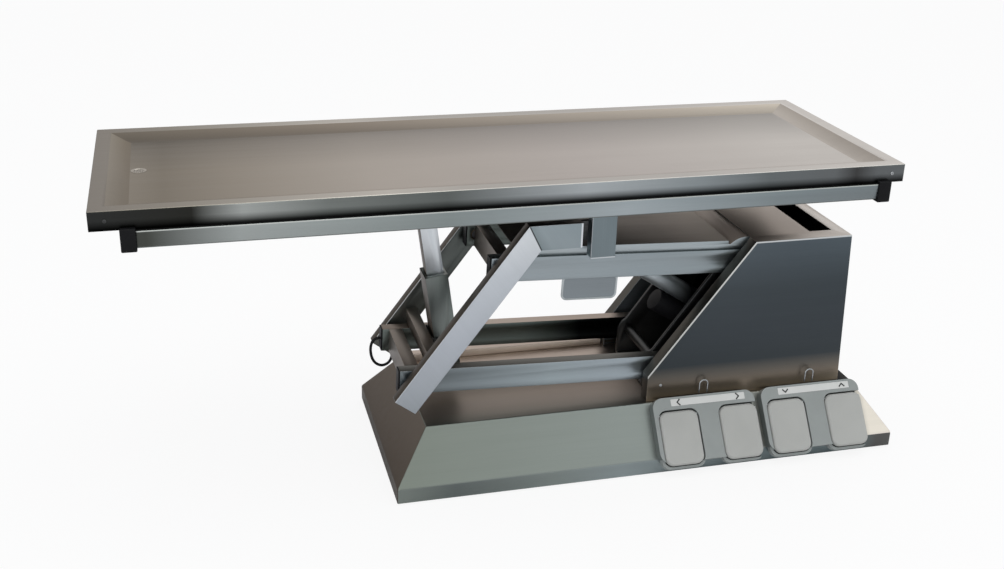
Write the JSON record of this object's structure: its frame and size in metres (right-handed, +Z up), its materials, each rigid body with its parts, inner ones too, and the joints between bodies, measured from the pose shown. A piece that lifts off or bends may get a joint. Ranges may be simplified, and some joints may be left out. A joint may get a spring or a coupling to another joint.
{
  "type": "veterinary examination table",
  "caption": "Electric table for animals: long sunk steel top with side rails tilts on arms that a parallel linkage lifts from a pressed base with twin foot pedals.",
  "frame": {"origin": "on the floor, midway between the top's left end and the base's right end, on the table's middle line", "axes": "+X along the table towards the housing, +Y from the pedals to the far side, +Z up"},
  "size_m": [1.584, 0.524, 0.6454],
  "materials": {
    "pressed_steel": "brushed",
    "tube_steel": "brushed",
    "dark_steel": "satin",
    "turned_steel": "turned",
    "bronze": "turned",
    "black_plastic": "moulded",
    "pedal_plastic": "moulded",
    "label": "smooth",
    "feet_rubber": "matt"
  },
  "bodies": {
    "base": {"base_skirt": "pressed_steel", "base_beam_near": "dark_steel", "base_beam_far": "dark_steel", "base_cross_beams": "dark_steel", "foot_legs": "dark_steel", "levelling_feet": "feet_rubber", "pivot_tower_near": "dark_steel", "pivot_tower_far": "dark_steel", "fixed_shaft_low": "turned_steel", "fixed_shaft_high": "turned_steel", "actuator_bracket": "dark_steel", "housing_cover": "pressed_steel", "housing_screws": "turned_steel", "control_box": "black_plastic", "mains_inlet": "black_plastic", "tilt_pedal_unit": "pedal_plastic", "lift_pedal_unit": "pedal_plastic", "pedal_hangers": "turned_steel", "pedal_labels": "label", "pedal_pins": "turned_steel"},
    "pedal_tilt_left_body": {"pedal_tilt_left": "pedal_plastic"},
    "pedal_tilt_right_body": {"pedal_tilt_right": "pedal_plastic"},
    "pedal_down_body": {"pedal_down": "pedal_plastic"},
    "pedal_up_body": {"pedal_up": "pedal_plastic"},
    "lower_links": {"lower_link_near": "tube_steel", "lower_link_far": "tube_steel", "lower_cross_tube": "tube_steel", "lower_link_bushes": "bronze", "lower_link_plugs": "black_plastic", "link_cable": "black_plastic"},
    "upper_links": {"upper_link_near": "tube_steel", "upper_link_far": "tube_steel", "upper_cross_tube": "tube_steel", "actuator_beam": "dark_steel", "upper_link_bushes": "bronze", "upper_link_plugs": "black_plastic", "link_cover": "pressed_steel", "name_plate": "label"},
    "carriage": {"arm_near": "tube_steel", "arm_far": "tube_steel", "arm_cross_tube": "tube_steel", "link_pins": "turned_steel", "tilt_ears": "dark_steel", "sleeve_lugs": "dark_steel"},
    "table_top": {"tray_pan": "pressed_steel", "tray_stiffeners": "tube_steel", "tray_cross_bars": "tube_steel", "tray_posts": "tube_steel", "tilt_head": "dark_steel", "rail_near": "turned_steel", "rail_far": "turned_steel", "rail_brackets": "dark_steel", "rail_caps": "black_plastic", "tray_screws": "turned_steel", "drain": "turned_steel"},
    "lift_tube": {"lift_cylinder": "turned_steel", "lift_motor": "black_plastic"},
    "lift_push_rod": {"lift_rod": "turned_steel"},
    "tilt_sleeve_body": {"tilt_sleeve": "tube_steel"},
    "tilt_column_body": {"tilt_column": "turned_steel"}
  },
  "joints": [
    {"name": "lift", "type": "hinge", "parent": "base", "child": "upper_links", "pos_m": [0.46411, 0, 0.41142], "axis": [0, 1, 0], "range_deg": [0, 42]},
    {"name": "lower_swing", "type": "hinge", "parent": "base", "child": "lower_links", "pos_m": [0.295, 0, 0.187], "axis": [0, 1, 0], "range_deg": [0, 42]},
    {"name": "carriage_level", "type": "hinge", "parent": "upper_links", "child": "carriage", "pos_m": [-0.05354, 0, 0.4304], "axis": [0, 1, 0], "range_deg": [-42, 0]},
    {"name": "tilt", "type": "hinge", "parent": "carriage", "child": "table_top", "pos_m": [0.13997, 0, 0.5054], "axis": [0, 1, 0], "range_deg": [-15, 10]},
    {"name": "lift_tube_swing", "type": "hinge", "parent": "upper_links", "child": "lift_tube", "pos_m": [0.19929, 0, 0.42113], "axis": [0, 1, 0], "range_deg": [-19.5, 0]},
    {"name": "lift_stroke", "type": "slide", "parent": "lift_tube", "child": "lift_push_rod", "axis": [0.8391, 0, -0.544], "range_m": [0, 0.0765]},
    {"name": "tilt_sleeve_swing", "type": "hinge", "parent": "carriage", "child": "tilt_sleeve_body", "pos_m": [-0.14285, 0, 0.24698], "axis": [0, 1, 0], "range_deg": [-5.5, 3.7]},
    {"name": "tilt_stroke", "type": "slide", "parent": "tilt_sleeve_body", "child": "tilt_column_body", "axis": [-0.1374, 0, 0.9905], "range_m": [-0.085, 0.057]},
    {"name": "pedal_tilt_left_press", "type": "hinge", "parent": "base", "child": "pedal_tilt_left_body", "pos_m": [0.309, -0.18686, 0.11033], "axis": [1, 0, 0], "range_deg": [0, 4], "stiffness_Nm_per_rad": 8, "springref_deg": -5.73},
    {"name": "pedal_tilt_right_press", "type": "hinge", "parent": "base", "child": "pedal_tilt_right_body", "pos_m": [0.441, -0.18686, 0.11033], "axis": [1, 0, 0], "range_deg": [0, 4], "stiffness_Nm_per_rad": 8, "springref_deg": -5.73},
    {"name": "pedal_down_press", "type": "hinge", "parent": "base", "child": "pedal_down_body", "pos_m": [0.55, -0.18686, 0.11033], "axis": [1, 0, 0], "range_deg": [0, 4], "stiffness_Nm_per_rad": 8, "springref_deg": -5.73},
    {"name": "pedal_up_press", "type": "hinge", "parent": "base", "child": "pedal_up_body", "pos_m": [0.682, -0.18686, 0.11033], "axis": [1, 0, 0], "range_deg": [0, 4], "stiffness_Nm_per_rad": 8, "springref_deg": -5.73}
  ],
  "couplings": [
    {"joint": "lower_swing", "follows": "lift", "ratio": 1},
    {"joint": "carriage_level", "follows": "lift", "ratio": -1},
    {"joint": "lift_tube_swing", "follows": "lift", "ratio": -0.45535},
    {"joint": "lift_stroke", "follows": "lift", "m_per_rad": 0.10294},
    {"joint": "tilt_sleeve_swing", "follows": "tilt", "ratio": 0.35259},
    {"joint": "tilt_stroke", "follows": "tilt", "m_per_rad": 0.31925}
  ]
}
